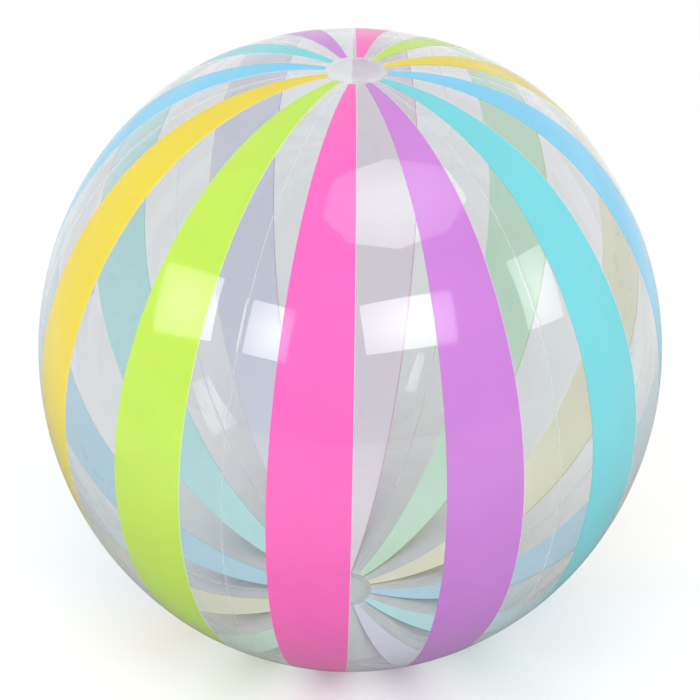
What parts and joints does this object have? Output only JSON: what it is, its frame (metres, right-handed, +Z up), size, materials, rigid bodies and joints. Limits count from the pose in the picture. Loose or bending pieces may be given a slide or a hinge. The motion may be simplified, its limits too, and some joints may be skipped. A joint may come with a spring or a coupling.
{
  "type": "inflatable beach ball",
  "caption": "Large inflatable beach ball of welded clear film panels with printed pastel stripes, end caps and a push-in air valve with plug and check flap.",
  "frame": {"origin": "centre of the flat face of the bottom end cap, which the ball rests on", "axes": "+Z up through both poles, -X out of the air valve in the middle of the left panel, -Y the front, on the seam between the lime and the pink stripe"},
  "size_m": [0.6728, 0.67, 0.6692],
  "materials": {
    "clear_film": "clear glossy PVC film",
    "clear_end_cap": "clear glossy PVC disc, a little thicker than the film",
    "valve_vinyl": "soft translucent vinyl",
    "plug_vinyl": "soft translucent vinyl",
    "ink_pink": "opaque glossy printed ink with a white backing, on the outside of the film",
    "ink_purple": "opaque glossy printed ink with a white backing, on the outside of the film",
    "ink_aqua": "opaque glossy printed ink with a white backing, on the outside of the film",
    "ink_blue": "opaque glossy printed ink with a white backing, on the outside of the film",
    "ink_yellow": "opaque glossy printed ink with a white backing, on the outside of the film",
    "ink_lime": "opaque glossy printed ink with a white backing, on the outside of the film"
  },
  "bodies": {
    "ball": {"panel_front_right": "clear_film", "panel_right": "clear_film", "panel_rear_right": "clear_film", "panel_rear_left": "clear_film", "panel_left": "clear_film", "panel_front_left": "clear_film", "pink_stripe_front": "ink_pink", "purple_stripe_front": "ink_purple", "aqua_stripe_right": "ink_aqua", "blue_stripe_right": "ink_blue", "yellow_stripe_rear": "ink_yellow", "lime_stripe_rear": "ink_lime", "pink_stripe_rear": "ink_pink", "purple_stripe_rear": "ink_purple", "aqua_stripe_left": "ink_aqua", "blue_stripe_left": "ink_blue", "yellow_stripe_front": "ink_yellow", "lime_stripe_front": "ink_lime", "top_end_cap": "clear_end_cap", "bottom_end_cap": "clear_end_cap", "valve_flange": "valve_vinyl", "valve_neck": "valve_vinyl"},
    "stem": {"valve_stem": "valve_vinyl", "plug_tether": "plug_vinyl"},
    "plug": {"valve_plug": "plug_vinyl"},
    "flap": {"check_flap": "valve_vinyl"}
  },
  "joints": [
    {"name": "stem_slide", "type": "slide", "parent": "ball", "child": "stem", "axis": [-1, 0, 0], "range_m": [0, 0.017], "deforming": ["valve_neck"]},
    {"name": "plug_pull", "type": "slide", "parent": "stem", "child": "plug", "axis": [-1, 0, 0], "range_m": [0, 0.012], "deforming": ["plug_tether"]},
    {"name": "flap_swing", "type": "hinge", "parent": "stem", "child": "flap", "pos_m": [-0.3142, 0, 0.33899], "axis": [0, -1, 0], "range_deg": [0, 70], "stiffness_Nm_per_rad": 0.00005}
  ]
}
